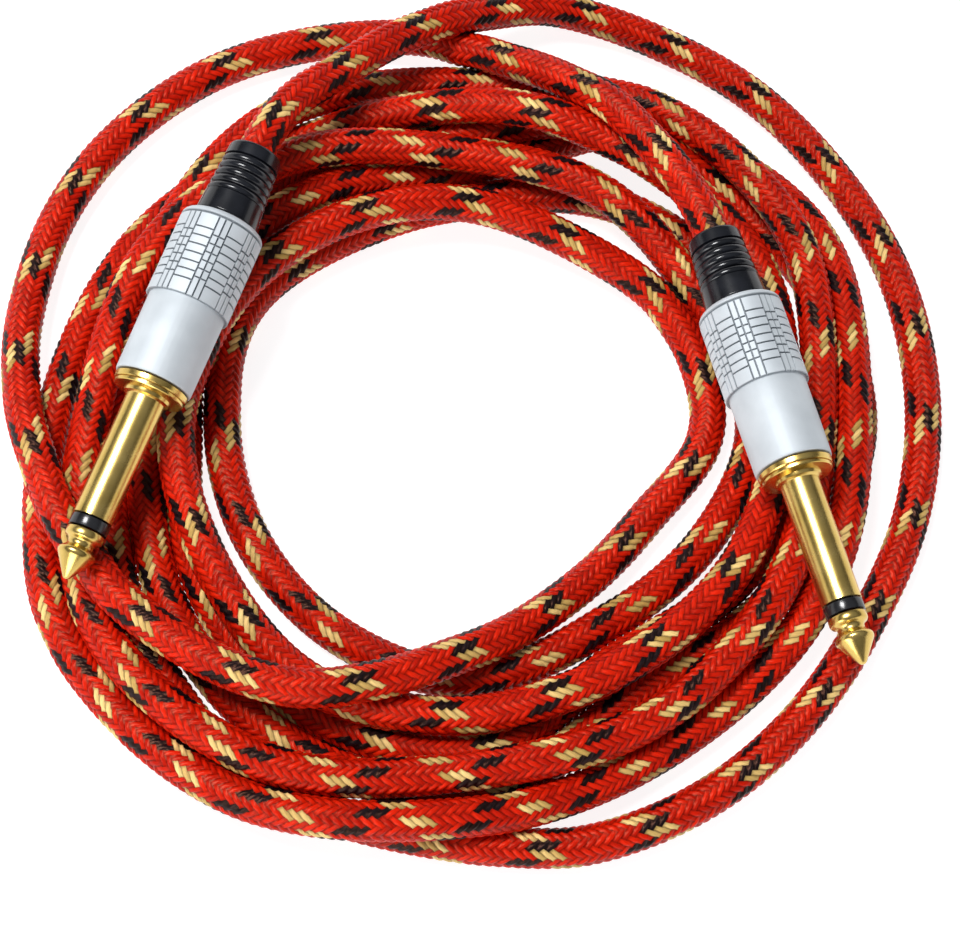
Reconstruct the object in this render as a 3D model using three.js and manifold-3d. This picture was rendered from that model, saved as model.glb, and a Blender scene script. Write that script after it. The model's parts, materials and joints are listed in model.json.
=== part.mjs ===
// Instrument cable: a braided cord lying in a round coil of seven turns, with a straight
// 6.35 mm two-pole plug on each end. Millimetres, +Z up, the coil flat on z = 0.

import * as THREE from 'three';
import { mergeVertices } from 'three/addons/utils/BufferGeometryUtils.js';
import Module from 'manifold-3d';

const wasm = await Module();
wasm.setup();

// ---- Driving dimensions ----

const GAP = 0.3; // clearance kept between neighbouring pieces
const FINE = 20; // flats around a turned piece
const COARSE = 12; // flats around a wire or the cord

const CORD_RADIUS = 3.15;
const CORD_STEP = 15; // spacing of the cord's sections along its route

// Stations along a plug, measured from the point of its tip.
const TIP_END = 7.9;
const RING_END = 9.9;
const SHOULDER = 31.5;
const COLLAR_STEP = 32.4;
const COLLAR_END = 33.4;
const GRIP_START = 47.3;
const SHELL_END = 62.8;
const BOOT_END = 76.4;
const STRAIGHT_END = BOOT_END + 4.5; // the cord stays straight here, for the boot to slide over

const SLEEVE_RADIUS = 6.35 / 2;
const COLLAR_RADIUS = 6.0;
const SHELL_RADIUS = 6.3;
const GRIP_RADIUS = 6.95;
const SHELL_BORE = 5.2;
const THREAD_RADIUS = SHELL_BORE - GAP;
const THREAD_END = 40;
const BOOT_BORE = CORD_RADIUS + GAP;

// Rows of pads on the grip: a tall one at each end and short ones between them.
const SHORT_ROWS = 6;
const SHORT_ROW = 1.5;
const TALL_ROW = 2.55;
const ROW_GROOVE = 0.4;

// The coil's outer shape, turned about its own centre.
const COIL_SECTION = [
  [38, 0],
  [65, 0],
  [66.5, 3],
  [65.5, 6.3],
  [58, 11.2],
  [44, 11.6],
  [39, 8],
  [37.5, 4],
];
const COIL_FLATS = 48;

// How each plug lies: the point of its tip, its heading in plan and its rise towards the boot.
const PLUG_A = { tip: [-62.7, -30.7, 15.5], heading: 67.9, rise: 6.2 };
const PLUG_B = { tip: [58.2, -47.2, 21.6], heading: 102.8, rise: -1.7 };

// The loose stretches of the cord between the coil and the plugs.
const LEAD_A = [
  [-28.5, 50.2, 23.4],
  [-22.6, 56.4, 20.4],
  [-15.6, 63.0, 16.8],
  [-8.0, 69.2, 14.4],
  [0.6, 74.6, 12.3],
  [10.2, 78.8, 8.6],
  [20.1, 80.9, 4.6],
  [34.5, 77.7, 3.3],
  [53.3, 66.4, 3.2],
  [67.4, 49.3, 3.2],
  [76.6, 28.8, 3.2],
  [78.8, 6.3, 3.2],
  [74.5, -15.6, 3.2],
  [64.5, -34.9, 3.2],
  [52.8, -50.2, 3.2],
  [39.1, -61.4, 3.2],
  [23.7, -68.3, 3.2],
  [9.7, -70.2, 3.2],
];
const LEAD_B = [
  [35.6, 39.8, 18.2],
  [30.0, 47.6, 17.2],
  [23.2, 55.2, 15.4],
  [15.5, 61.9, 12.4],
  [6.5, 68.4, 8.0],
  [-3.8, 74.3, 4.4],
  [-14.9, 76.0, 3.3],
  [-27.0, 74.3, 3.2],
  [-40.6, 69.2, 3.2],
  [-52.5, 60.7, 3.2],
  [-62.3, 49.5, 3.2],
  [-69.0, 36.1, 3.3],
  [-72.1, 20.8, 4.2],
  [-72.0, 10.0, 6.0],
  [-68.9, -5.3, 8.5],
];

// ---- Materials ----

function material(color, roughness, metalness) {
  return new THREE.MeshStandardMaterial({ color, roughness, metalness });
}

const GOLD = material('#c9a13b', 0.28, 1);
const SATIN = material('#ccd0d6', 0.34, 1);
const BLACK_RUBBER = material('#14161c', 0.32, 0);
const BLACK_PLASTIC = material('#17171a', 0.4, 0);
const WHITE_PLASTIC = material('#e8e6dd', 0.45, 0);
const LINER_PLASTIC = material('#d9d4c2', 0.4, 0);
const BLACK_PVC = material('#1d1b1c', 0.6, 0);
const COPPER = material('#b8713f', 0.35, 1);
const TINNED = material('#b9bcc0', 0.4, 1);
const SOLDER = material('#c6c8ca', 0.3, 1);
const BRAID = material('#c8201d', 0.75, 0);

// ---- Shape helpers ----

// A turned piece about +Z. The profile is [radius, station] points, outside first.
function turned(name, profile, finish, flats = FINE) {
  const points = profile.map(([radius, station]) => new THREE.Vector2(radius, station));
  const geometry = new THREE.LatheGeometry(points, flats);
  geometry.rotateX(Math.PI / 2);
  const mesh = new THREE.Mesh(geometry, finish);
  mesh.name = name;
  return mesh;
}

function rod(name, radius, start, end, finish) {
  return turned(name, [[0, start], [radius, start], [radius, end], [0, end]], finish, COARSE);
}

function hollowTube(name, bore, radius, start, end, finish) {
  const wall = [[radius, start], [radius, end], [bore, end], [bore, start], [radius, start]];
  return turned(name, wall, finish);
}

function bead(name, radius, station, finish) {
  const mesh = new THREE.Mesh(new THREE.SphereGeometry(radius, COARSE, 8), finish);
  mesh.name = name;
  mesh.position.z = station;
  return mesh;
}

// A flat outline in X and Y, extruded along the plug's axis.
function extruded(outline, start, end) {
  const shape = new THREE.Shape(outline.map(([x, y]) => new THREE.Vector2(x, y)));
  const geometry = new THREE.ExtrudeGeometry(shape, { depth: end - start, bevelEnabled: false });
  geometry.translate(0, 0, start);
  return geometry;
}

function rectangle(left, right, low, high) {
  return [[left, low], [right, low], [right, high], [left, high]];
}

function toSolid(geometry) {
  const bare = geometry.index ? geometry.toNonIndexed() : geometry.clone();
  bare.deleteAttribute('normal');
  bare.deleteAttribute('uv');
  const merged = mergeVertices(bare);
  return new wasm.Manifold(new wasm.Mesh({
    numProp: 3,
    vertProperties: new Float32Array(merged.attributes.position.array),
    triVerts: new Uint32Array(merged.index.array),
  }));
}

function joined(name, geometries, finish) {
  const [first, ...others] = geometries.map(toSolid);
  const whole = others.reduce((solid, other) => solid.add(other), first).getMesh();
  const geometry = new THREE.BufferGeometry();
  geometry.setAttribute('position', new THREE.BufferAttribute(whole.vertProperties, 3));
  geometry.setIndex(new THREE.BufferAttribute(whole.triVerts, 1));
  const mesh = new THREE.Mesh(geometry, finish);
  mesh.name = name;
  return mesh;
}

// ---- The plug's metal body ----

// The tip: a pointed cone, a neck that the socket's spring drops into, and a flange.
function tip(name) {
  const profile = [
    [0, 0],
    [0.9, 0.25],
    [2.2, 2.0],
    [3.0, 3.7],
    [3.0, 4.4],
    [2.1, 5.4],
    [2.1, 6.1],
    [3.05, 6.9],
    [3.1, TIP_END],
    [0, TIP_END],
  ];
  return turned(name, profile, GOLD);
}

const ROD_RADIUS = 1.2;
const ROD_END = 38.4;
const LINER_BORE = ROD_RADIUS + GAP; // bore of the insulators around the centre rod
const FRONT_TUBE_RADIUS = 2.3;
const SLEEVE_BORE = FRONT_TUBE_RADIUS + GAP;
const POCKET_START = 36.3; // the pocket for the rear washer, in the back of the sleeve
const POCKET_RADIUS = 3.9;

// The black ring behind the tip, in one piece with the tube around the centre rod.
function frontInsulator(name) {
  const start = TIP_END + GAP;
  const profile = [
    [3.1, start],
    [3.1, RING_END],
    [FRONT_TUBE_RADIUS, RING_END],
    [FRONT_TUBE_RADIUS, POCKET_START - GAP],
    [LINER_BORE, POCKET_START - GAP],
    [LINER_BORE, start],
    [3.1, start],
  ];
  return turned(name, profile, BLACK_PLASTIC);
}

// The sleeve contact: shaft, two-step collar and the threaded part that the shell screws onto.
function sleeve(name) {
  const start = RING_END + GAP;
  const profile = [
    [SLEEVE_RADIUS, start],
    [SLEEVE_RADIUS, SHOULDER],
    [5.5, SHOULDER],
    [5.5, COLLAR_STEP],
    [COLLAR_RADIUS, COLLAR_STEP],
    [COLLAR_RADIUS, COLLAR_END],
    [THREAD_RADIUS, COLLAR_END],
    [THREAD_RADIUS, THREAD_END],
    [POCKET_RADIUS, THREAD_END],
    [POCKET_RADIUS, POCKET_START],
    [SLEEVE_BORE, POCKET_START],
    [SLEEVE_BORE, start],
    [SLEEVE_RADIUS, start],
  ];
  return turned(name, profile, GOLD);
}

// ---- The connections inside the shell ----

const LUG_START = ROD_END + GAP;
const LUG_THICKNESS = 0.7;
const LUG_TAIL_END = 44;
const GROUND_START = THREAD_END + GAP;
const CLAMP_START = 52.5;
const CLAMP_END = 57.5;
const CLAMP_WALL = 0.65;
const STRAP_TOP = -3.5;
const STRAP_BOTTOM = -4.1;
const LINER_RADIUS = SHELL_BORE - GAP - 0.05;

// The lug on the centre rod: a foot across the rod's end and a tail for the core's solder joint.
function tipLug(name) {
  const foot = extruded(rectangle(-2.2, 2.2, -1.8, 1.8), LUG_START, LUG_START + LUG_THICKNESS);
  const tail = extruded(rectangle(-1.4, 1.4, -0.35, 0.35), LUG_START, LUG_TAIL_END);
  return joined(name, [foot, tail], TINNED);
}

// The sleeve's lug: a foot behind the thread, a strap and a clamp that holds the cord.
function groundLug(name) {
  const foot = extruded(rectangle(-1.4, 1.4, -4.6, STRAP_TOP), GROUND_START, GROUND_START + LUG_THICKNESS);
  const strap = extruded(rectangle(-1.4, 1.4, STRAP_BOTTOM, STRAP_TOP), GROUND_START, CLAMP_END);
  const bore = CORD_RADIUS + GAP;
  const section = new THREE.Shape();
  const open = THREE.MathUtils.degToRad(35);
  const mouth = Math.PI / 2 - open;
  section.absarc(0, 0, bore + CLAMP_WALL, mouth, Math.PI / 2 + open, true);
  section.absarc(0, 0, bore, Math.PI / 2 + open, mouth, false);
  section.closePath();
  const clamp = new THREE.ExtrudeGeometry(section, {
    depth: CLAMP_END - CLAMP_START,
    bevelEnabled: false,
    curveSegments: FINE / 2,
  });
  clamp.translate(0, 0, CLAMP_START);
  return joined(name, [foot, strap, clamp], TINNED);
}

// The end of the cord, stripped in steps, with each conductor soldered to its lug.
function cordEnd(prefix) {
  const ballRadius = 1.0;
  const ballStation = LUG_TAIL_END + GAP + ballRadius;
  const wireStart = ballStation + ballRadius + GAP;
  const coreStart = wireStart + 1.2 + GAP;
  const innerStart = coreStart + 1.5 + GAP;
  const jacketStart = innerStart + 1.3 + GAP;
  const pigtail = rod(`${prefix}_shield_pigtail`, 0.5, 44.6, innerStart - GAP, COPPER);
  pigtail.position.y = -2.7;
  const groundJoint = bead(`${prefix}_ground_solder`, 0.8, 43.5, SOLDER);
  groundJoint.position.y = -2.4;
  return [
    bead(`${prefix}_tip_solder`, ballRadius, ballStation, SOLDER),
    rod(`${prefix}_core_wire`, 0.5, wireStart, coreStart - GAP, COPPER),
    rod(`${prefix}_core_insulation`, 1.2, coreStart, innerStart - GAP, WHITE_PLASTIC),
    rod(`${prefix}_inner_jacket`, 2.2, innerStart, jacketStart - GAP, BLACK_PVC),
    rod(`${prefix}_jacket_end`, CORD_RADIUS, jacketStart, STRAIGHT_END, BRAID),
    pigtail,
    groundJoint,
  ];
}

// ---- The shell and the boot, which unscrew and slide back along the cord ----

const SHELL_START = COLLAR_END + GAP;
const SHELL_BACK_WALL = 61.3;
const SHELL_MOUTH = 4.6; // the opening in the shell's back wall
const BOOT_NECK = SHELL_MOUTH - GAP;

// The grip's rows of pads, with a groove after each row.
function gripProfile() {
  const rows = [TALL_ROW, ...Array(SHORT_ROWS).fill(SHORT_ROW), TALL_ROW];
  const points = [];
  let station = GRIP_START;
  for (const row of rows) {
    points.push([GRIP_RADIUS, station]);
    station += row;
    points.push([GRIP_RADIUS, station - ROW_GROOVE]);
    points.push([GRIP_RADIUS - ROW_GROOVE, station - ROW_GROOVE / 2]);
  }
  return points;
}

function shell(name) {
  const profile = [
    [SHELL_RADIUS - 0.3, SHELL_START],
    [SHELL_RADIUS, SHELL_START + 0.4],
    [SHELL_RADIUS, GRIP_START],
    ...gripProfile(),
    [GRIP_RADIUS, SHELL_END - 0.9],
    [GRIP_RADIUS - 0.5, SHELL_END],
    [SHELL_MOUTH, SHELL_END],
    [SHELL_MOUTH, SHELL_BACK_WALL],
    [SHELL_BORE, SHELL_BACK_WALL],
    [SHELL_BORE, SHELL_START],
    [SHELL_RADIUS - 0.3, SHELL_START],
  ];
  return turned(name, profile, SATIN);
}

// The boot: a flange held inside the shell, a plain root, five ribs and a plain lip.
function boot(name) {
  const flangeStart = 59.4;
  const rootStart = SHELL_END + GAP;
  const rootRadius = 5.3;
  const lipRadius = 4.4;
  const ribsStart = rootStart + 3.8;
  const lipStart = BOOT_END - 2.4;
  const ribs = 5;
  const ribLength = (lipStart - ribsStart) / ribs;
  const taper = (station) => (
    THREE.MathUtils.mapLinear(station, rootStart, BOOT_END, rootRadius, lipRadius)
  );
  const profile = [
    [4.9, flangeStart],
    [4.9, SHELL_BACK_WALL - GAP],
    [BOOT_NECK, SHELL_BACK_WALL - GAP],
    [BOOT_NECK, rootStart],
    [rootRadius, rootStart],
  ];
  for (let rib = 0; rib < ribs; rib += 1) {
    const station = ribsStart + rib * ribLength;
    profile.push([taper(station), station]);
    profile.push([taper(station) - 0.55, station + ribLength * 0.25]);
    profile.push([taper(station + ribLength), station + ribLength * 0.5]);
  }
  profile.push([lipRadius + 0.1, lipStart]);
  profile.push([lipRadius, BOOT_END]);
  profile.push([BOOT_BORE, BOOT_END]);
  profile.push([BOOT_BORE, flangeStart]);
  profile.push([4.9, flangeStart]);
  return turned(name, profile, BLACK_RUBBER);
}

// ---- Assembly ----

// The direction from a plug's tip towards its boot.
function plugAxis({ heading, rise }) {
  const turn = THREE.MathUtils.degToRad(heading);
  const climb = THREE.MathUtils.degToRad(rise);
  return new THREE.Vector3(
    Math.cos(climb) * Math.cos(turn),
    Math.cos(climb) * Math.sin(turn),
    Math.sin(climb),
  );
}

function plug(prefix, pose) {
  const group = new THREE.Group();
  group.add(
    tip(`${prefix}_tip`),
    rod(`${prefix}_centre_rod`, ROD_RADIUS, TIP_END + GAP, ROD_END, GOLD),
    frontInsulator(`${prefix}_front_insulator`),
    sleeve(`${prefix}_sleeve`),
    hollowTube(
      `${prefix}_rear_washer`, LINER_BORE, POCKET_RADIUS - GAP, POCKET_START + GAP, ROD_END, BLACK_PLASTIC,
    ),
    tipLug(`${prefix}_tip_lug`),
    groundLug(`${prefix}_ground_lug`),
    hollowTube(`${prefix}_liner`, LINER_RADIUS - 0.4, LINER_RADIUS, 41.5, 58.5, LINER_PLASTIC),
    ...cordEnd(prefix),
    shell(`${prefix}_shell`),
    boot(`${prefix}_boot`),
  );
  group.position.set(...pose.tip);
  group.quaternion.setFromUnitVectors(new THREE.Vector3(0, 0, 1), plugAxis(pose));
  return group;
}

// A loose lead: straight out of the jacket's end in the boot, then along its hand-set route.
function lead(name, pose, route) {
  const axis = plugAxis(pose);
  const onAxis = (station) => new THREE.Vector3(...pose.tip).addScaledVector(axis, station);
  const start = STRAIGHT_END + GAP;
  const bendStart = start + CORD_RADIUS;
  const bends = route.map((point) => new THREE.Vector3(...point));
  const points = [onAxis(start), onAxis(bendStart), ...bends];
  const curve = new THREE.CatmullRomCurve3(points, false, 'centripetal');
  const section = new THREE.Shape();
  section.absarc(0, 0, CORD_RADIUS, 0, 2 * Math.PI, false);
  const geometry = new THREE.ExtrudeGeometry(section, {
    steps: Math.round(curve.getLength() / CORD_STEP),
    curveSegments: COARSE / 2, // an arc takes two flats for each
    extrudePath: curve,
    bevelEnabled: false,
  });
  const mesh = new THREE.Mesh(geometry, BRAID);
  mesh.name = name;
  return mesh;
}

const cable = new THREE.Group();
cable.add(
  turned('coil', [...COIL_SECTION, COIL_SECTION[0]], BRAID, COIL_FLATS),
  lead('a_lead', PLUG_A, LEAD_A),
  lead('b_lead', PLUG_B, LEAD_B),
  plug('a', PLUG_A),
  plug('b', PLUG_B),
);

// The origin goes to the middle of the whole part's box, on the surface it lies on.
const box = new THREE.Box3().setFromObject(cable, true);
const middle = box.getCenter(new THREE.Vector3());
cable.position.set(-middle.x, -middle.y, -box.min.z);

export default cable;
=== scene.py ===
"""The instrument cable's looks: braided cord, plugs, floor, light and camera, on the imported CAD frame."""
import json
import math

import bpy
import numpy as np
from mathutils import Matrix, Vector


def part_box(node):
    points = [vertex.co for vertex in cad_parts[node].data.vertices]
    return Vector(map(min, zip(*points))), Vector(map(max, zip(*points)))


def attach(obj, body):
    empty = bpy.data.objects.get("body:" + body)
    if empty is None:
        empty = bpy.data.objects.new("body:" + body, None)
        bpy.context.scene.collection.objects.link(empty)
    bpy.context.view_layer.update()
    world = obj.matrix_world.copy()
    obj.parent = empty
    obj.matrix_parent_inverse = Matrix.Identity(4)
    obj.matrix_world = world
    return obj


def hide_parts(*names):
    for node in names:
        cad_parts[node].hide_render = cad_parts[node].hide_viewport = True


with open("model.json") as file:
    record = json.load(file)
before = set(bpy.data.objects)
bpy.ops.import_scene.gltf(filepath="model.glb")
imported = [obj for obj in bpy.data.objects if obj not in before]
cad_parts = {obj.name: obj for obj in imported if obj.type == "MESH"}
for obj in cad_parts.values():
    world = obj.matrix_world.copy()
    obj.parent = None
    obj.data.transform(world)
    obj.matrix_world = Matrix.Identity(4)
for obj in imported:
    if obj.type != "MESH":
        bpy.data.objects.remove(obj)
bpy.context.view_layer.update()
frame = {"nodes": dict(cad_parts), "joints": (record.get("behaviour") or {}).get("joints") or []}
SCENE = bpy.context.scene
SCENE.view_settings.view_transform = "Standard"

MM = 0.001
UP = np.array([0.0, 0.0, 1.0])

# ---- The frame's places ----

COIL_LOW, COIL_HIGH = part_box("coil")
COIL_CENTRE = np.array([(COIL_LOW[0] + COIL_HIGH[0]) / 2, (COIL_LOW[1] + COIL_HIGH[1]) / 2, 0.0])
SHELL_FRONT = 33.7  # millimetres from a plug's point to its shell's front edge, where the hinge sits
JOINTS = {joint["name"]: joint for joint in frame["joints"]}


def plug_pose(prefix):
    """The point of a plug's tip and the direction from it to the boot."""
    hinge = JOINTS[prefix + "_shell_unscrew"]
    axis = np.array(hinge["axis"], dtype=float)
    axis /= np.linalg.norm(axis)
    return np.array(hinge["pos_m"], dtype=float) - SHELL_FRONT * MM * axis, axis


PLUGS = {prefix: plug_pose(prefix) for prefix in "ab"}

# ---- Camera ----

CAMERA_OFFSET = np.array([-27.5, -137.3, 318.0]) * MM
TARGET_OFFSET = np.array([2.4, -7.9, 5.0]) * MM
CAMERA_ROLL = math.radians(12)
CAMERA_LENS = 77.7  # millimetres, as the sensor's width is
SENSOR_WIDTH = 36


def add_camera():
    place = Vector(COIL_CENTRE + CAMERA_OFFSET)
    forward = (Vector(COIL_CENTRE + TARGET_OFFSET) - place).normalized()
    level = forward.cross(Vector(UP)).normalized()
    rise = level.cross(forward)
    right = level * math.cos(CAMERA_ROLL) + rise * math.sin(CAMERA_ROLL)
    up = rise * math.cos(CAMERA_ROLL) - level * math.sin(CAMERA_ROLL)
    data = bpy.data.cameras.new("camera")
    data.lens = CAMERA_LENS
    data.sensor_width = SENSOR_WIDTH
    data.sensor_fit = "HORIZONTAL"
    data.clip_start = 0.01
    camera = bpy.data.objects.new("camera", data)
    SCENE.collection.objects.link(camera)
    turn = Matrix((right, up, -forward)).transposed().to_4x4()
    camera.matrix_world = Matrix.Translation(place) @ turn
    SCENE.camera = camera


add_camera()

# ---- Material helpers ----


class Nodes:
    """A material's node tree, with short calls to add and join nodes."""

    def __init__(self, name):
        self.material = bpy.data.materials.new(name)
        self.material.use_nodes = True
        self.tree = self.material.node_tree
        self.shader = self.tree.nodes["Principled BSDF"]

    def add(self, kind, links=None, **settings):
        node = self.tree.nodes.new("ShaderNode" + kind)
        for key, value in settings.items():
            setattr(node, key, value)
        for socket, source in (links or {}).items():
            self.feed(node.inputs[socket], source)
        return node

    def feed(self, socket, source):
        if isinstance(source, bpy.types.NodeSocket):
            self.tree.links.new(source, socket)
        else:
            socket.default_value = source

    def math(self, operation, *values):
        node = self.add("Math", operation=operation)
        for index, value in enumerate(values):
            self.feed(node.inputs[index], value)
        return node.outputs[0]

    def noise(self, vector, scale, detail):
        node = self.add("TexNoise", {"Vector": vector, "Scale": scale, "Detail": detail})
        return node.outputs["Fac"]

    def ramp(self, value, *stops):
        node = self.add("ValToRGB", {"Fac": value})
        for place, colour in stops[1:-1]:
            node.color_ramp.elements.new(place).color = (*colour, 1)
        for element, (place, colour) in zip(node.color_ramp.elements, stops):
            element.position = place
            element.color = (*colour, 1)
        return node.outputs["Color"]

    def mix(self, amount, first, second, blend="MIX"):
        node = self.add("Mix", data_type="RGBA", blend_type=blend)
        self.feed(node.inputs[0], amount)
        self.feed(node.inputs[6], first)
        self.feed(node.inputs[7], second)
        return node.outputs[2]

    def scale_range(self, value, low, high):
        node = self.add("MapRange", {"Value": value, "To Min": low, "To Max": high})
        return node.outputs["Result"]

    def bump(self, height, distance, strength):
        node = self.add("Bump", {"Height": height, "Distance": distance, "Strength": strength})
        return node.outputs["Normal"]

    def set(self, **sockets):
        for name, source in sockets.items():
            self.feed(self.shader.inputs[name.replace("_", " ")], source)
        return self.material


def object_place(nodes):
    return nodes.add("TexCoord").outputs["Object"]


def attribute(nodes, name):
    return nodes.add("Attribute", attribute_name=name).outputs["Fac"]


# ---- The cord's route ----

CORD_DIAMETER = 6.3 * MM
REST_HEIGHT = CORD_DIAMETER / 2

# The loose stretches, in millimetres from the coil's centre, each from its plug's boot to the coil.
LEAD_A = [
    (-28.5, 50.2, 23.4),
    (-22.6, 56.4, 20.4),
    (-15.6, 63.0, 16.8),
    (-8.0, 69.2, 14.4),
    (0.6, 74.6, 12.3),
    (10.2, 78.8, 8.6),
    (20.1, 80.9, 4.6),
    (34.5, 77.7, 3.3),
    (53.3, 66.4, 3.2),
    (67.4, 49.3, 3.2),
    (76.6, 28.8, 3.2),
    (78.8, 6.3, 3.2),
    (74.5, -15.6, 3.2),
    (64.5, -34.9, 3.2),
    (52.8, -50.2, 3.2),
    (39.1, -61.4, 3.2),
    (23.7, -68.3, 3.2),
    (9.7, -70.2, 3.2),
]
LEAD_B = [
    (35.6, 39.8, 18.2),
    (30.0, 47.6, 17.2),
    (23.2, 55.2, 15.4),
    (15.5, 61.9, 12.4),
    (6.5, 68.4, 8.0),
    (-3.8, 74.3, 4.4),
    (-14.9, 76.0, 3.3),
    (-27.0, 74.3, 3.2),
    (-40.6, 69.2, 3.2),
    (-52.5, 60.7, 3.2),
    (-62.3, 49.5, 3.2),
    (-69.0, 36.1, 3.3),
    (-72.1, 20.8, 4.2),
    (-72.0, 10.0, 6.0),
    (-68.9, -5.3, 8.5),
]

# The coil's turns, clockwise from seven o'clock, where lead a runs into them: hour by hour, how far
# the cord lies from the coil's centre and how high, in millimetres.
FIRST_HOUR = 7
COIL_HOURS = [
    (69.2, 3.2), (62.8, 3.2), (58.3, 3.2), (59.5, 3.2), (63.2, 3.2), (66.0, 3.2), (68.1, 6.3),
    (66.3, 9.0), (58.1, 9.0), (57.7, 9.0), (58.5, 9.0), (59.7, 9.0), (66.8, 9.0), (68.1, 8.8),
    (59.4, 7.0), (58.5, 7.0), (54.2, 9.0), (48.5, 9.0), (48.8, 9.0), (46.3, 6.5), (48.5, 3.9),
    (44.4, 8.0), (42.0, 5.1), (43.9, 3.2), (41.7, 3.2), (40.3, 3.2), (40.6, 3.2), (42.7, 3.2),
    (42.1, 3.2), (45.7, 3.2), (50.5, 3.2), (54.0, 3.2), (57.0, 3.2), (52.0, 3.2), (47.0, 3.2),
    (55.0, 3.2), (54.0, 3.2), (50.8, 3.2), (46.2, 3.2), (49.5, 3.2), (53.0, 3.2), (52.5, 3.2),
    (63.0, 3.2), (68.4, 3.2), (67.4, 3.2), (58.5, 3.2), (52.2, 3.2), (61.6, 3.2), (60.8, 3.2),
    (57.3, 3.2), (51.9, 4.0), (48.8, 7.0), (47.8, 6.6), (47.5, 3.5), (65.7, 3.8), (69.7, 8.9),
    (64.3, 9.1), (64.1, 3.4), (63.0, 3.2), (67.0, 8.5), (71.8, 9.0), (70.1, 5.4), (66.7, 3.2),
    (63.3, 3.2), (60.9, 3.2), (57.4, 6.1), (57.7, 8.0), (58.3, 8.0), (53.6, 8.0), (51.1, 8.0),
    (49.2, 8.0), (50.9, 8.0), (52.5, 7.8), (48.7, 7.0), (47.9, 9.1), (45.0, 9.0), (41.5, 9.0),
    (39.8, 9.0), (39.2, 9.0), (42.8, 7.4), (41.6, 3.2), (33.7, 3.8), (33.8, 7.9), (40.4, 13.0),
    (55.4, 14.5), (64.6, 10.5),
]


def coil_point(hour, reach, height):
    angle = math.radians(30) * hour
    return (reach * math.sin(angle), reach * math.cos(angle), height)


CURVE_STEPS = 24  # places worked out between two of a curve's points


def smooth_line(points, spacing):
    """A centripetal Catmull-Rom curve through the points, with even spacing."""
    points = np.asarray(points, dtype=float)
    padded = np.vstack([2 * points[0] - points[1], points, 2 * points[-1] - points[-2]])
    knots = np.concatenate([[0], np.cumsum(np.linalg.norm(np.diff(padded, axis=0), axis=1) ** 0.5)])
    dense = []
    for index in range(1, len(points)):
        t0, t1, t2, t3 = knots[index - 1:index + 3]
        p0, p1, p2, p3 = padded[index - 1:index + 3]
        for t in np.linspace(t1, t2, CURVE_STEPS, endpoint=False):
            a1 = ((t1 - t) * p0 + (t - t0) * p1) / (t1 - t0)
            a2 = ((t2 - t) * p1 + (t - t1) * p2) / (t2 - t1)
            a3 = ((t3 - t) * p2 + (t - t2) * p3) / (t3 - t2)
            b1 = ((t2 - t) * a1 + (t - t0) * a2) / (t2 - t0)
            b2 = ((t3 - t) * a2 + (t - t1) * a3) / (t3 - t1)
            dense.append(((t2 - t) * b1 + (t - t1) * b2) / (t2 - t1))
    dense.append(points[-1])
    return even_line(np.array(dense), spacing)


def places_along(line):
    """How far along the line each of its points lies."""
    return np.concatenate([[0], np.cumsum(np.linalg.norm(np.diff(line, axis=0), axis=1))])


def even_line(points, spacing):
    places = places_along(points)
    wanted = np.linspace(0, places[-1], int(round(places[-1] / spacing)) + 1)
    return np.stack([np.interp(wanted, places, points[:, axis]) for axis in range(3)], axis=1)


IN_BOOT = (62, 70, 78)  # stations where the cord runs straight along the plug's axis


def cord_points():
    """The whole route, from inside one boot to inside the other, in metres."""
    tip_a, axis_a = PLUGS["a"]
    tip_b, axis_b = PLUGS["b"]
    turns = [coil_point(FIRST_HOUR + step, *place) for step, place in enumerate(COIL_HOURS)]
    loose = np.array(LEAD_A + turns + LEAD_B[::-1]) * MM + COIL_CENTRE
    start = [tip_a + axis_a * station * MM for station in IN_BOOT]
    end = [tip_b + axis_b * station * MM for station in reversed(IN_BOOT)]
    return np.vstack([start, loose, end])


# ---- Settling the cord: its turns lie on each other and on the floor, and don't pass through ----

BEAD_SPACING = 2.5 * MM
SETTLE_STEPS = 300
PULL_FIRST = 0.06  # share of the way back to the route in plan, each step, fading to the last
PULL_LAST = 0.04
SINK = 0.03 * MM  # how far the cord sinks in each step, unless something holds it up
LIFT = 2.0  # how much rather two strands part upwards than sideways
CONTACT = 6.2 * MM  # how near two strands come: the jackets press into each other a little
CONTACT_RATE = 1.6  # how much of a needed shift is made in each step
PAIR_STEPS = 10  # steps between two searches for strands that are near each other
PAIR_REACH = CORD_DIAMETER + 4 * MM
SAME_STRAND = 2.6 * CORD_DIAMETER  # closer than this along the cord, beads don't push each other
EASE_REACHES = (2, 5)  # beads on either side, over which the cord's stiffness evens out a bend
EASE_AMOUNT = 0.18
HELD_END = 19 * MM  # the length at each end that stays where the plug holds it
PAST_HELD_END = 8  # beads after a held end that the plugs' own shapes don't push
PLUG_RODS = [(2, 31, 3.3), (31.5, 62.8, 6.95), (62.8, 74, 5.4)]  # stations and radius


def close_pairs(beads, reach, skip):
    """Index pairs of beads within reach of each other that aren't near along the cord."""
    firsts = []
    seconds = []
    for start in range(0, len(beads), 256):
        block = beads[start:start + 256]
        squared = ((block[:, None, :] - beads[None]) ** 2).sum(axis=2)
        first, second = np.nonzero(squared < reach ** 2)
        first += start
        apart = second - first > skip
        firsts.append(first[apart])
        seconds.append(second[apart])
    return np.concatenate(firsts), np.concatenate(seconds)


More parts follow.
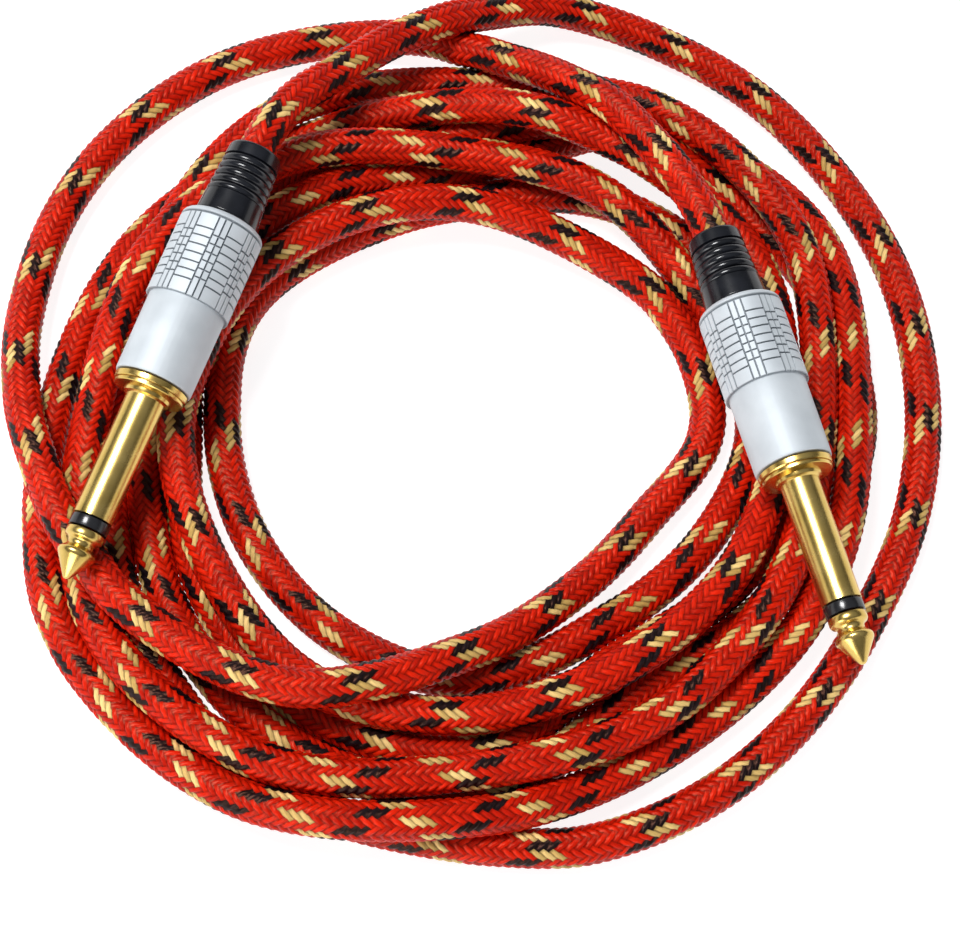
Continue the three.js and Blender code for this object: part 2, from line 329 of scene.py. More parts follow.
def push_apart(beads, first, second):
    gap = beads[first] - beads[second]
    distance = np.linalg.norm(gap, axis=1) + 1e-9
    touching = distance < CONTACT
    first, second, gap, distance = (part[touching] for part in (first, second, gap, distance))
    way = gap * (1, 1, LIFT)
    way /= np.linalg.norm(way, axis=1)[:, None]
    push = ((CONTACT - distance) / 2)[:, None] * way
    total = np.zeros_like(beads)
    count = np.zeros(len(beads))
    for ends, amount in ((first, push), (second, -push)):
        np.add.at(total, ends, amount)
        np.add.at(count, ends, 1)
    return beads + CONTACT_RATE * total / np.maximum(count, 1)[:, None]


def push_off_plugs(beads, free):
    for tip, axis in PLUGS.values():
        for start, end, radius in PLUG_RODS:
            along = np.clip((beads - tip) @ axis, start * MM, end * MM)
            away = beads - (tip + along[:, None] * axis)
            distance = np.linalg.norm(away, axis=1) + 1e-9
            clear = radius * MM + CONTACT / 2
            touching = free & (distance < clear)
            beads[touching] += (away * (clear / distance - 1)[:, None])[touching]
    return beads


def eased(offsets, reach, amount):
    """Spreads sharp changes in the offsets along the cord, as its stiffness does."""
    change = np.zeros_like(offsets)
    change[reach:-reach] = (offsets[2 * reach:] + offsets[:-2 * reach]) / 2 - offsets[reach:-reach]
    spread = (np.roll(change, reach, axis=0) + np.roll(change, -reach, axis=0)) / 2
    return offsets + amount * (change - spread)


def settled(route):
    """The route's beads after the turns have pushed each other apart and come to rest."""
    beads = route.copy()
    flat = route.copy()
    flat[:, 2] = REST_HEIGHT
    count = len(beads)
    spacing = np.linalg.norm(np.diff(route, axis=0), axis=1).mean()
    skip = int(math.ceil(SAME_STRAND / spacing))
    held = int(round(HELD_END / spacing)) + 1
    fixed = np.zeros(count, dtype=bool)
    fixed[:held] = True
    fixed[-held:] = True
    free = np.ones(count, dtype=bool)
    free[:held + PAST_HELD_END] = False
    free[-held - PAST_HELD_END:] = False
    for step in range(SETTLE_STEPS):
        left = 1 - step / SETTLE_STEPS
        offsets = beads - flat
        offsets[:, :2] *= 1 - PULL_FIRST * left ** 2 - PULL_LAST * min(1, 4 * left)
        offsets[:, 2] -= SINK
        for reach in EASE_REACHES:
            offsets = eased(offsets, reach, EASE_AMOUNT)
        beads = flat + offsets
        if step % PAIR_STEPS == 0:
            first, second = close_pairs(beads, PAIR_REACH, skip)
        beads = push_apart(beads, first, second)
        beads = push_off_plugs(beads, free)
        beads[:, 2] = np.maximum(beads[:, 2], REST_HEIGHT)
        for _ in range(2):  # keeps the beads evenly spaced
            edge = np.diff(beads, axis=0)
            length = np.linalg.norm(edge, axis=1)[:, None]
            shift = (1 - spacing / length) * edge / 4
            beads[:-1] += shift
            beads[1:] -= shift
        beads[fixed] = route[fixed]
    return beads


# ---- The braided jacket ----

# A braid of 24 yarns in a two-over, two-under lay: 12 columns of slanted stitches around the cord,
# leaning left and right in turn. A stitch's ends reach in between those of the next columns, half
# a row along, and each yarn goes once around the cord in 12 rows.
COLUMNS = 12
ROW = 1.48 * MM
COLUMN_STEPS = 3  # mesh steps across a stitch and along a row
ROW_STEPS = 4
AROUND = COLUMNS * COLUMN_STEPS
VALLEY_RADIUS = 2.8 * MM
STITCH_HEIGHT = 0.37 * MM
ROW_SHAPE = np.array([0.0, 0.78, 1.0, 0.78])  # a stitch's height from one edge to the other
SEAM_SHAPE = np.array([0.4, 0.0, 0.4, 0.0])
SEAM_REACH = 0.17  # how far a stitch reaches into the next column, as a share of the column
BAKE_STRIPS = 12  # the bake map has the cord's length in this many strips, one above the other
BAKE_FILL = 0.98  # how much of its strip's height the cord fills
LINE_SPACING = 0.6 * MM
TRACER_YARNS = 3
RED, BLACK, YELLOW = 0.0, 0.5, 1.0
TWIST = [0, 5, 60, 130, 190, 250, 320, 360, 355]  # the braid's turn in degrees, evenly along the cord


def cord_sides(line):
    """The directions up from the cord and to its right, square to the line."""
    along = np.gradient(line, axis=0)
    along /= np.linalg.norm(along, axis=1)[:, None]
    up = UP - (along @ UP)[:, None] * along
    up /= np.linalg.norm(up, axis=1)[:, None]
    return up, np.cross(up, along)


def stitch_yarn(column, row):
    """Which yarn shows at a stitch: black ones wind one way and yellow ones the other."""
    if column % 2 == 0:
        return BLACK if (row - column) % COLUMNS < TRACER_YARNS else RED
    return YELLOW if (row + column - 1) % COLUMNS < TRACER_YARNS else RED


def row_steps(ring, spoke):
    """Mesh steps along a column's rows. Every second column starts half a row early."""
    late = spoke // COLUMN_STEPS % 2
    return ring + late * ROW_STEPS // 2


def braid_points(line, ring, spoke):
    """The jacket's surface at each ring along the cord and each spoke around it."""
    places = places_along(line)
    up, side = cord_sides(line)
    late = spoke // COLUMN_STEPS % 2
    step = spoke % COLUMN_STEPS
    phase = row_steps(ring, spoke) % ROW_STEPS
    lean = np.where(late == 0, step, COLUMN_STEPS - step) / COLUMN_STEPS
    place = (ring / ROW_STEPS + lean) * ROW
    on_seam = step == 0
    radius = VALLEY_RADIUS + STITCH_HEIGHT * np.where(on_seam, SEAM_SHAPE[phase], ROW_SHAPE[phase])
    reach = np.where(on_seam, SEAM_REACH * np.cos(2 * math.pi * phase / ROW_STEPS), 0.0)
    twist = np.interp(place, np.linspace(0, places[-1], len(TWIST)), np.radians(TWIST))
    angle = (spoke / COLUMN_STEPS + reach - 0.5) * 2 * math.pi / COLUMNS + twist

    def at_place(values):
        return np.stack([np.interp(place, places, values[:, axis]) for axis in range(3)], axis=2)

    outward = at_place(up) * np.cos(angle)[..., None] + at_place(side) * np.sin(angle)[..., None]
    return at_place(line) + outward * radius[..., None]


def quad_mesh(name, vertices, corners):
    """A smooth mesh from an array of points and an array of four point numbers for each face."""
    mesh = bpy.data.meshes.new(name)
    mesh.vertices.add(len(vertices))
    mesh.vertices.foreach_set("co", vertices.ravel())
    mesh.loops.add(corners.size)
    mesh.loops.foreach_set("vertex_index", corners.ravel())
    mesh.polygons.add(len(corners))
    mesh.polygons.foreach_set("loop_start", np.arange(0, corners.size, 4))
    mesh.polygons.foreach_set("use_smooth", np.ones(len(corners), dtype=bool))
    mesh.update(calc_edges=True)
    return mesh


def near_far(values):
    """Values for a face's corners: as they are, one on, one on, and as they are."""
    return np.stack([values, values + 1, values + 1, values], axis=2)


def left_right(values):
    """Values for a face's corners: as they are, twice, and one on, twice."""
    return np.stack([values, values, values + 1, values + 1], axis=2)


def add_uv_map(mesh, name, across, along):
    places = np.stack(np.broadcast_arrays(across, along), axis=3)
    mesh.uv_layers.new(name=name).data.foreach_set("uv", places.astype(np.float32).ravel())


def add_bake_map(mesh, ring, spoke):
    """The UV map for baking: the whole cord in strips, with a little room between them."""
    strip_rings = math.ceil(len(ring) / BAKE_STRIPS)
    strip = (ring // strip_rings)[..., None]
    across = near_far(ring % strip_rings) / strip_rings
    up = left_right(spoke) / AROUND
    inset = (1 - BAKE_FILL) / 2
    add_uv_map(mesh, "OFBake", across, (strip + inset + BAKE_FILL * up) / BAKE_STRIPS)


def add_yarns(mesh, ring, spoke):
    """Which yarn each face belongs to, on its corners."""
    table = np.array([[stitch_yarn(column, row) for column in range(COLUMNS)] for row in range(COLUMNS)])
    row = row_steps(ring, spoke) // ROW_STEPS
    yarn = table[row % COLUMNS, spoke // COLUMN_STEPS]
    layer = mesh.attributes.new("yarn", "FLOAT", "CORNER")
    layer.data.foreach_set("value", np.repeat(yarn.ravel(), 4).astype(np.float32))


def build_braid(line):
    """The jacket's mesh, with its yarns and two UV maps. The one called stitches counts columns
    around the cord and rows along it."""
    rings = int(places_along(line)[-1] / ROW - 1) * ROW_STEPS + 1
    ring = np.arange(rings)[:, None]
    spoke = np.arange(AROUND)[None]
    points = braid_points(line, ring, spoke)
    ring = ring[:-1]
    near = ring * AROUND
    far = near + AROUND
    following = (spoke + 1) % AROUND
    corners = np.stack([near + spoke, far + spoke, far + following, near + following], axis=2)
    mesh = quad_mesh("cord", points.reshape(-1, 3), corners.reshape(-1, 4))
    rows = near_far(row_steps(ring, spoke)) / ROW_STEPS
    add_uv_map(mesh, "stitches", left_right(spoke) / COLUMN_STEPS, rows)
    add_bake_map(mesh, ring, spoke)
    add_yarns(mesh, ring, spoke)
    return mesh


def braid_material():
    nodes = Nodes("braid")
    stitches = nodes.add("UVMap", uv_map="stitches").outputs["UV"]
    yarn = attribute(nodes, "yarn")
    split = nodes.add("SeparateXYZ", {"Vector": stitches})
    column = nodes.math("FLOOR", split.outputs["X"])
    row = nodes.math("FLOOR", split.outputs["Y"])
    stitch = nodes.add("CombineXYZ", {"X": column, "Y": row})
    shade = nodes.add("TexWhiteNoise", {"Vector": stitch.outputs["Vector"]}).outputs["Value"]
    fibre_place = nodes.add("CombineXYZ", {
        "X": nodes.math("MULTIPLY", split.outputs["X"], 1.3),
        "Y": nodes.math("MULTIPLY", split.outputs["Y"], 9.0),
        "Z": nodes.math("MULTIPLY", shade, 40.0),
    })
    fibre = nodes.noise(fibre_place.outputs["Vector"], 1.0, detail=2.0)
    cloud = nodes.noise(object_place(nodes), 45.0, detail=2.0)

    red = nodes.ramp(shade, (0.0, (0.38, 0.005, 0.001)), (1.0, (0.73, 0.016, 0.002)))
    red = nodes.mix(nodes.scale_range(cloud, 0.0, 0.5), red, (0.52, 0.008, 0.001, 1))
    black = nodes.ramp(shade, (0.0, (0.002, 0.002, 0.003)), (1.0, (0.007, 0.006, 0.009)))
    yellow = nodes.ramp(shade, (0.0, (0.44, 0.27, 0.07)), (1.0, (0.88, 0.62, 0.24)))
    dark_or_red = nodes.mix(nodes.math("GREATER_THAN", yarn, 0.25), red, black)
    colour = nodes.mix(nodes.math("GREATER_THAN", yarn, 0.75), dark_or_red, yellow)

    # Painted shade: each stitch is darkened towards its row edges, in the valleys between rows.
    from_edge = nodes.math("PINGPONG", split.outputs["Y"], 0.5)
    painted_row_shade = nodes.ramp(from_edge, (0.0, (0.36, 0.36, 0.36)), (0.2, (1, 1, 1)))
    colour = nodes.mix(1.0, colour, painted_row_shade, blend="MULTIPLY")
    # Painted shade: each stitch is darkened towards its ends, where it tucks under the next column.
    from_end = nodes.math("PINGPONG", split.outputs["X"], 0.5)
    painted_seam_shade = nodes.ramp(from_end, (0.0, (0.55, 0.55, 0.55)), (0.2, (1, 1, 1)))
    colour = nodes.mix(1.0, colour, painted_seam_shade, blend="MULTIPLY")
    strands = nodes.ramp(fibre, (0.3, (0.82, 0.82, 0.82)), (0.7, (1.1, 1.1, 1.1)))
    colour = nodes.mix(1.0, colour, strands, blend="MULTIPLY")
    return nodes.set(
        Base_Color=colour,
        Roughness=nodes.scale_range(fibre, 0.30, 0.46),
        Normal=nodes.bump(fibre, 0.05 * MM, 0.6),
        Specular_IOR_Level=0.3,
        Specular_Tint=(1.0, 0.44, 0.28, 1),
    )


def make_cord():
    beads = settled(smooth_line(cord_points(), BEAD_SPACING))
    line = smooth_line(beads[::2], LINE_SPACING)
    mesh = build_braid(line)
    mesh.materials.append(braid_material())
    cord = bpy.data.objects.new("cord", mesh)
    SCENE.collection.objects.link(cord)
    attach(cord, "cable")
    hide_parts("coil", "a_lead", "b_lead", "a_jacket_end", "b_jacket_end")
    return cord, line


CORD, CORD_LINE = make_cord()

# ---- Turned pieces ----

EVEN_ANGLES = np.arange(128) * 2 * math.pi / 128


def plug_matrix(prefix):
    """Takes a plug's own frame, +Z from its tip to its boot, to the row frame."""
    tip, axis = PLUGS[prefix]
    turn = Vector((0, 0, 1)).rotation_difference(Vector(axis)).to_matrix().to_4x4()
    return Matrix.Translation(Vector(tip)) @ turn


def add_piece(name, mesh, material, prefix, body, slot, *nodes):
    mesh.materials.append(material)
    mesh.transform(plug_matrix(prefix))
    piece = bpy.data.objects.new(name, mesh)
    SCENE.collection.objects.link(piece)
    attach(piece, body)
    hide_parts(*nodes)


def grid_mesh(name, points):
    """A mesh from points[station][spoke] that closes on itself both ways."""
    stations, spokes = points.shape[:2]
    vertices = (points.reshape(-1, 3) * MM).tolist()
    faces = []
    for station in range(stations):
        near = station * spokes
        far = (station + 1) % stations * spokes
        for spoke in range(spokes):
            following = (spoke + 1) % spokes
            faces.append((near + spoke, near + following, far + following, far + spoke))
    mesh = bpy.data.meshes.new(name)
    mesh.from_pydata(vertices, [], faces)
    mesh.polygons.foreach_set("use_smooth", [True] * len(faces))
    return mesh


def turned_mesh(name, profile, relief=None, angle=EVEN_ANGLES, sharp=25):
    """A closed turned shape from (radius, station) points in millimetres, with edges sharper than
    sharp degrees left hard. relief gives what is added to the radius at each station and angle."""
    radius = np.array([point[0] for point in profile], dtype=float)[:, None] + 0 * angle
    station = np.array([point[1] for point in profile], dtype=float)[:, None] + 0 * angle
    if relief is not None:
        radius = radius + relief(station, angle[None] + np.zeros_like(station))
    points = np.stack([radius * np.cos(angle), radius * np.sin(angle), station], axis=2)
    mesh = grid_mesh(name, points)
    mesh.set_sharp_from_angle(angle=math.radians(sharp))
    return mesh


def rounded(profile, radius, steps):
    """The profile with each corner cut to a small round."""
    points = [np.array(point, dtype=float) for point in profile]
    result = []
    for index, corner in enumerate(points):
        before = points[index - 1]
        after = points[(index + 1) % len(points)]
        to_before = before - corner
        to_after = after - corner
        reach = min(radius, np.linalg.norm(to_before) * 0.4, np.linalg.norm(to_after) * 0.4)
        start = corner + to_before / np.linalg.norm(to_before) * reach
        end = corner + to_after / np.linalg.norm(to_after) * reach
        for t in np.linspace(0, 1, steps):
            result.append(tuple((1 - t) ** 2 * start + 2 * t * (1 - t) * corner + t ** 2 * end))
    return result


# ---- Metal and moulded materials ----


def gold_material():
    nodes = Nodes("gold_plate")
    place = object_place(nodes)
    cloud = nodes.noise(place, 260.0, detail=4.0)
    haze = nodes.noise(place, 1800.0, detail=2.0)
    colour = nodes.ramp(cloud, (0.3, (0.62, 0.42, 0.11)), (0.7, (0.74, 0.53, 0.17)))
    return nodes.set(
        Base_Color=colour,
        Metallic=1.0,
        Roughness=nodes.scale_range(cloud, 0.20, 0.32),
        Normal=nodes.bump(haze, 0.004 * MM, 0.35),
    )


def shell_material():
    nodes = Nodes("satin_nickel")
    place = object_place(nodes)
    cloud = nodes.noise(place, 180.0, detail=4.0)
    grain = nodes.noise(place, 5200.0, detail=2.0)
    colour = nodes.ramp(cloud, (0.3, (0.48, 0.52, 0.55)), (0.7, (0.56, 0.60, 0.63)))
    # Painted shade: the groove floors are blended towards near black, for the shade that falls in them.
    painted_groove_shade = nodes.scale_range(attribute(nodes, "groove"), 0.0, 0.8)
    colour = nodes.mix(painted_groove_shade, colour, (0.10, 0.12, 0.14, 1))
    return nodes.set(
        Base_Color=colour,
        Metallic=0.3,
        Roughness=nodes.scale_range(cloud, 0.54, 0.66),
        Normal=nodes.bump(grain, 0.006 * MM, 0.5),
    )


def rubber_material():
    nodes = Nodes("boot_rubber")
    place = object_place(nodes)
    cloud = nodes.noise(place, 300.0, detail=4.0)
    grain = nodes.noise(place, 3000.0, detail=2.0)
    colour = nodes.ramp(cloud, (0.3, (0.003, 0.0035, 0.005)), (0.75, (0.008, 0.009, 0.013)))
    return nodes.set(
        Base_Color=colour,
        Roughness=nodes.scale_range(cloud, 0.15, 0.28),
        Normal=nodes.bump(grain, 0.008 * MM, 0.4),
        Specular_IOR_Level=0.5,
    )


def plastic_material(name, dark, light, rough, gloss=0.5):
    nodes = Nodes(name)
    place = object_place(nodes)
    cloud = nodes.noise(place, 400.0, detail=3.0)
    colour = nodes.ramp(cloud, (0.3, dark), (0.7, light))
    return nodes.set(
        Base_Color=colour,
        Roughness=nodes.scale_range(cloud, rough - 0.06, rough + 0.06),
        Normal=nodes.bump(cloud, 0.01 * MM, 0.3),
        Specular_IOR_Level=gloss,
    )


def metal_material(name, dark, light, rough):
    nodes = Nodes(name)
    place = object_place(nodes)
    cloud = nodes.noise(place, 500.0, detail=4.0)
    colour = nodes.ramp(cloud, (0.3, dark), (0.7, light))
    return nodes.set(
        Base_Color=colour,
        Metallic=1.0,
        Roughness=nodes.scale_range(cloud, rough - 0.06, rough + 0.08),
        Normal=nodes.bump(cloud, 0.02 * MM, 0.3),
    )


GOLD = gold_material()
SHELL = shell_material()
RUBBER = rubber_material()
RING = plastic_material("ring_plastic", (0.006, 0.006, 0.007), (0.014, 0.014, 0.016), 0.22, 0.6)

# ---- The plug's outer pieces. Stations run from the point of the tip, in millimetres. ----

SLEEVE_RADIUS = 3.175
THREAD_START = 33.9
THREAD_TURNS = 7
THREAD_RADIUS = 4.85
THREAD_ROOT = THREAD_RADIUS - 0.3
THREAD_PITCH = 0.8


def tip_profile():
    """The tip: a blunt cone, a rounded rim, a hollow neck and a flange."""
    cone = [(0.001, 0.0), (0.34, 0.05), (0.6, 0.27), (2.8, 3.5)]
    rim = [(2.96, 3.78), (3.03, 4.08), (2.99, 4.4), (2.8, 4.68)]
    neck = [(2.46, 4.96), (2.18, 5.28), (2.08, 5.66), (2.16, 6.06), (2.42, 6.38)]
    flange = [(2.82, 6.56), (2.99, 6.78), (3.05, 7.05), (3.05, 7.8), (2.98, 7.9)]
    return cone + rim + neck + flange + [(0.001, 7.9)]


def sleeve_profile():
    """The sleeve with its collar, and the thread that the shell screws onto."""
    shaft = [(2.6, 10.2), (SLEEVE_RADIUS, 10.2), (SLEEVE_RADIUS, 30.75)]
    boss = [(3.35, 30.9), (3.72, 31.05), (3.8, 31.3), (3.85, 31.6)]
    collar = [(5.6, 31.72), (5.72, 31.85), (5.74, 32.2), (5.6, 32.26), (5.6, 32.34), (5.86, 32.4)]
    collar += [(5.98, 32.6), (6.05, 33.3), (5.95, 33.4)]
    thread = []
    for turn in range(THREAD_TURNS):
        station = THREAD_START + turn * THREAD_PITCH
        thread += [(THREAD_ROOT, station), (THREAD_RADIUS, station + THREAD_PITCH / 2)]
    back = [(THREAD_ROOT, 40.0), (3.9, 40.0), (3.9, 36.3), (2.6, 36.3)]
    return shaft + boss + collar + [(THREAD_ROOT, 33.4)] + thread + back


def ring_profile():
    """The black ring, with the tube that runs on from it inside the sleeve."""
    return rounded([(1.5, 8.2), (3.14, 8.2), (3.16, 9.9), (2.3, 9.9), (2.3, 36.0), (1.5, 36.0)], 0.08, 3)


def make_contacts(prefix):
    tip = turned_mesh(prefix + "_tip_contact", tip_profile(), sharp=40)
    add_piece(prefix + "_tip_contact", tip, GOLD, prefix, "cable", "gold", prefix + "_tip")
    ring = turned_mesh(prefix + "_ring", ring_profile())
    add_piece(prefix + "_ring", ring, RING, prefix, "cable", "black_plastic", prefix + "_front_insulator")
    sleeve = turned_mesh(prefix + "_sleeve_contact", sleeve_profile())
    add_piece(prefix + "_sleeve_contact", sleeve, GOLD, prefix, "cable", "gold", prefix + "_sleeve")


# ---- The shell and its grip ----

GRIP_START = 47.3
SHORT_ROWS = 6
SHORT_ROW = 1.5
TALL_ROW = 2.55
GRIP_ROWS_END = GRIP_START + 2 * TALL_ROW + SHORT_ROWS * SHORT_ROW
SHELL_END = 62.8
GRIP_RADIUS = 6.95
SHELL_RADIUS = 6.3
PAD_HEIGHT = 0.36
GRIP_SECTORS = 8
SECTOR = 2 * math.pi * GRIP_RADIUS / GRIP_SECTORS
BAR = 1.08  # from groove to groove across a narrow bar. Two bars and a wide pad fill a sector.
WIDE_PAD = SECTOR - 2 * BAR
GROOVE_FLOOR = 0.07  # half the width of a groove, at its bottom and at its top
GROOVE_MOUTH = 0.15


def off_lines(values, lines):
    """Whether each value is clear of the grooves at these lines."""
    return np.abs(values[..., None] - np.asarray(lines)).min(axis=-1) > GROOVE_MOUTH - 0.01


def with_groove_edges(lines):
    """The places of both edges and both sides of the floor of the groove at each line."""
    edges = [-GROOVE_MOUTH, -GROOVE_FLOOR, GROOVE_FLOOR, GROOVE_MOUTH]
    return sorted(line + edge for line in lines for edge in edges)


WIDE_LINES = [GRIP_START + TALL_ROW + SHORT_ROW * row for row in range(SHORT_ROWS + 1)]
BAR_LINES = [line + SHORT_ROW / 2 for line in WIDE_LINES[:-1]]
SECTOR_LINES = [0, WIDE_PAD, WIDE_PAD + BAR, SECTOR]


def grip_stations():
    start = [GRIP_START + GROOVE_FLOOR, GRIP_START + GROOVE_MOUTH]
    return start + with_groove_edges(WIDE_LINES + BAR_LINES) + with_groove_edges([GRIP_ROWS_END])


def grip_angles():
    pad_middle = list(np.linspace(GROOVE_MOUTH, WIDE_PAD - GROOVE_MOUTH, 7)[1:-1])
    sector = sorted(with_groove_edges(SECTOR_LINES[:-1]) + pad_middle)
    around = [place + SECTOR * index for index in range(GRIP_SECTORS) for place in sector]
    return np.array(around) / GRIP_RADIUS


def grip_relief(station, angle):
    """How far the pads stand up: wide ones in rows, and bars between them half a row along."""
    within = np.mod(angle * GRIP_RADIUS, SECTOR)
    wide = within < WIDE_PAD
    rows = np.where(wide, off_lines(station, WIDE_LINES), off_lines(station, BAR_LINES))
    pads = rows & off_lines(within, SECTOR_LINES) & off_lines(station, [GRIP_ROWS_END])
    on_grip = (station > GRIP_START + 0.1) & (station < GRIP_ROWS_END)
    return np.where(on_grip & pads, PAD_HEIGHT, 0.0)


def shell_profile():
    base = GRIP_RADIUS - PAD_HEIGHT
    front = [(5.2, SHELL_FRONT), (6.08, SHELL_FRONT), (6.2, 33.78), (6.28, 34.0), (SHELL_RADIUS, 34.5)]
    front += [(6.34, 40.0), (6.38, GRIP_START - 0.2), (6.3, GRIP_START)]
    grip = [(base, station) for station in grip_stations()]
    lip_angles = np.radians(np.linspace(0, 90, 9))
    lip = [(5.65 + 1.28 * math.cos(t), 61.75 + 1.05 * math.sin(t)) for t in lip_angles]
    back = [(4.6, SHELL_END), (4.6, 61.4), (5.2, 61.3)]
    return front + grip + lip + back


def mark_grooves(mesh):
    """Marks the grip's groove floors, into which the shell's material paints shade."""
    places = np.empty(len(mesh.vertices) * 3)
    mesh.vertices.foreach_get("co", places)
    x, y, z = (places.reshape(-1, 3) / MM).T
    on_grip = (z > GRIP_START + 0.02) & (z < GRIP_ROWS_END + 2 * GROOVE_MOUTH)
    low = np.hypot(x, y) < GRIP_RADIUS - PAD_HEIGHT / 2
    outer = np.hypot(x, y) > SHELL_RADIUS - 0.1
    groove = mesh.attributes.new("groove", "FLOAT", "POINT")
    groove.data.foreach_set("value", (on_grip & low & outer).astype(np.float32))


def make_shell(prefix):
    name = prefix + "_grip_shell"
    mesh = turned_mesh(name, shell_profile(), grip_relief, grip_angles(), sharp=30)
    mark_grooves(mesh)
    add_piece(name, mesh, SHELL, prefix, prefix + "_shell", "satin_shell", prefix + "_shell")


# ---- The boot ----

BOOT_START = 63.1
BOOT_RINGS_START = 67.0
BOOT_RINGS = 5
BOOT_RING = 1.4
BOOT_RINGS_END = BOOT_RINGS_START + BOOT_RINGS * BOOT_RING
BOOT_END = 76.4
BOOT_ROOT_RADIUS = 5.3
BOOT_END_RADIUS = 4.4
RING_DEPTH = 0.62
BOOT_LIP = 0.5


def boot_radius(station):
    """A slight taper, with round-backed rings between narrow grooves."""
    share = (station - BOOT_START) / (BOOT_END - BOOT_START)
    radius = BOOT_ROOT_RADIUS + (BOOT_END_RADIUS - BOOT_ROOT_RADIUS) * share
    if BOOT_RINGS_START < station < BOOT_RINGS_END:
        within = (station - BOOT_RINGS_START) % BOOT_RING / BOOT_RING
        radius -= RING_DEPTH * (1 - abs(math.sin(math.pi * within)) ** 0.45)
    return radius


def boot_profile():
    """The boot's outline, with a bore that opens a little at its mouth to let the cord bend."""
    stations = np.linspace(BOOT_START + 0.25, BOOT_END - BOOT_LIP, 150)
    outside = [(boot_radius(station), station) for station in stations]
    lip_radius = BOOT_END_RADIUS - BOOT_LIP
    lip_station = BOOT_END - BOOT_LIP
    lip = []
    for angle in np.radians(np.linspace(15, 90, 6)):
        lip.append((lip_radius + BOOT_LIP * math.cos(angle), lip_station + BOOT_LIP * math.sin(angle)))
    inside = [(3.6, BOOT_END), (3.4, BOOT_END - 4), (3.4, 59.5), (4.3, 59.5), (4.3, BOOT_START)]
    return [(BOOT_ROOT_RADIUS - 0.2, BOOT_START)] + outside + lip + inside


def make_boot(prefix):
    name = prefix + "_ribbed_boot"
    mesh = turned_mesh(name, boot_profile(), sharp=55)
    add_piece(name, mesh, RUBBER, prefix, prefix + "_boot", "black_rubber", prefix + "_boot")


for letter in "ab":
    make_contacts(letter)
    make_shell(letter)
    make_boot(letter)

# ---- The hidden pieces keep their CAD shapes ----

HIDDEN_FINISHES = {
    "centre_rod": GOLD,
    "rear_washer": RING,
    "tip_lug": metal_material("tinned_steel", (0.50, 0.51, 0.53), (0.68, 0.69, 0.71), 0.35),
    "liner": plastic_material("liner_plastic", (0.62, 0.58, 0.47), (0.74, 0.70, 0.58), 0.4),
    "tip_solder": metal_material("solder", (0.58, 0.59, 0.61), (0.74, 0.75, 0.77), 0.22),
    "core_wire": metal_material("copper", (0.58, 0.27, 0.13), (0.78, 0.42, 0.24), 0.3),
    "core_insulation": plastic_material("core_plastic", (0.70, 0.69, 0.64), (0.82, 0.81, 0.77), 0.45),
    "inner_jacket": plastic_material("jacket_plastic", (0.012, 0.011, 0.012), (0.03, 0.028, 0.028), 0.55),
}
HIDDEN_FINISHES["ground_lug"] = HIDDEN_FINISHES["tip_lug"]
HIDDEN_FINISHES["ground_solder"] = HIDDEN_FINISHES["tip_solder"]
HIDDEN_FINISHES["shield_pigtail"] = HIDDEN_FINISHES["core_wire"]

for letter in "ab":
    for part, finish in HIDDEN_FINISHES.items():
        frame["nodes"][letter + "_" + part].material_slots[0].material = finish

# ---- Floor and light ----

# Distance from the middle and height, in metres.
FLOOR_PROFILE = [(0.0, 0.0), (2.2, 0.0), (2.5, 0.04), (2.66, 0.15), (2.72, 0.35), (2.74, 0.9)]
FLOOR_SIDES = 48
FLOOR_DROP = 0.0002
SKY_HORIZON = (0.16, 0.155, 0.15, 1)
SKY_ZENITH = (0.85, 0.90, 1.0, 1)
SKY_STRENGTH = 0.32


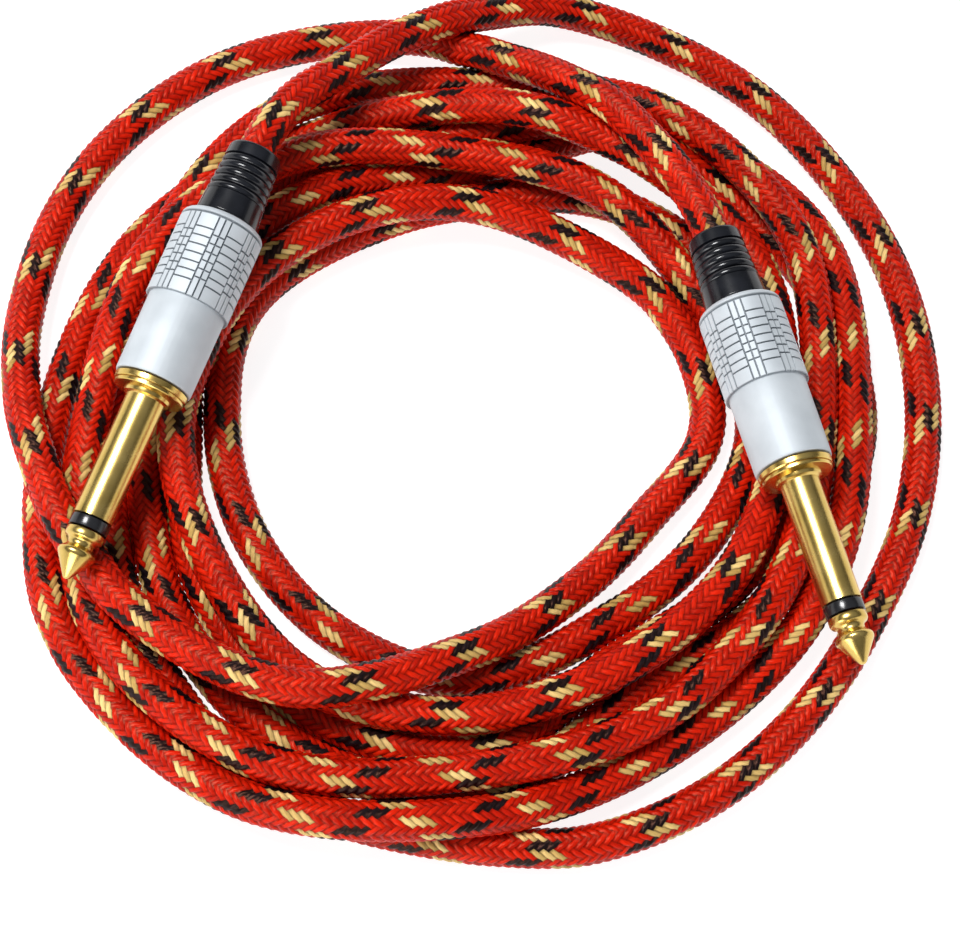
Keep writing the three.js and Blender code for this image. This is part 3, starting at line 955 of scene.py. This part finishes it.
def add_floor():
    """A pale sheet that curves up to a wall all round, so that level views see a pale ground too."""
    vertices = []
    faces = []
    for reach, height in FLOOR_PROFILE:
        for side in range(FLOOR_SIDES):
            angle = 2 * math.pi * side / FLOOR_SIDES
            vertices.append((reach * math.cos(angle), reach * math.sin(angle), height))
    for ring in range(len(FLOOR_PROFILE) - 1):
        for side in range(FLOOR_SIDES):
            near = ring * FLOOR_SIDES
            following = (side + 1) % FLOOR_SIDES
            far = near + FLOOR_SIDES
            faces.append((near + side, far + side, far + following, near + following))
    mesh = bpy.data.meshes.new("floor")
    mesh.from_pydata(vertices, [], faces)
    mesh.polygons.foreach_set("use_smooth", [True] * len(faces))
    nodes = Nodes("floor_paper")
    nodes.set(
        Base_Color=(0.32, 0.32, 0.32, 1),
        Roughness=0.9,
        Specular_IOR_Level=0.1,
        Emission_Color=(1, 1, 1, 1),
        Emission_Strength=0.87,
    )
    mesh.materials.append(nodes.material)
    floor = bpy.data.objects.new("floor", mesh)
    floor.location.z = -FLOOR_DROP
    SCENE.collection.objects.link(floor)


def add_softbox(name, place, size, power):
    """A soft rectangular light, turned to the coil."""
    data = bpy.data.lights.new(name, "AREA")
    data.shape = "RECTANGLE"
    data.size, data.size_y = size
    data.energy = power
    light = bpy.data.objects.new(name, data)
    light.location = place
    aim = Vector(COIL_CENTRE) - Vector(place)
    light.rotation_euler = aim.to_track_quat("-Z", "Y").to_euler()
    SCENE.collection.objects.link(light)


def add_world():
    """A dim studio, warm and dark at the horizon and cool and pale overhead."""
    world = bpy.data.worlds.new("studio")
    world.use_nodes = True
    tree = world.node_tree
    place = tree.nodes.new("ShaderNodeTexCoord")
    split = tree.nodes.new("ShaderNodeSeparateXYZ")
    ramp = tree.nodes.new("ShaderNodeValToRGB")
    tree.links.new(place.outputs["Generated"], split.inputs["Vector"])
    tree.links.new(split.outputs["Z"], ramp.inputs["Fac"])
    tree.links.new(ramp.outputs["Color"], tree.nodes["Background"].inputs["Color"])
    horizon, zenith = ramp.color_ramp.elements
    horizon.position = 0.42
    horizon.color = SKY_HORIZON
    zenith.position = 0.80
    zenith.color = SKY_ZENITH
    tree.nodes["Background"].inputs["Strength"].default_value = SKY_STRENGTH
    SCENE.world = world


add_floor()
add_softbox("key", (-0.28, 0.12, 0.75), (0.25, 0.25), 6.6)
add_softbox("fill", (-0.4, -0.62, 0.3), (0.45, 0.3), 2.5)
add_world()
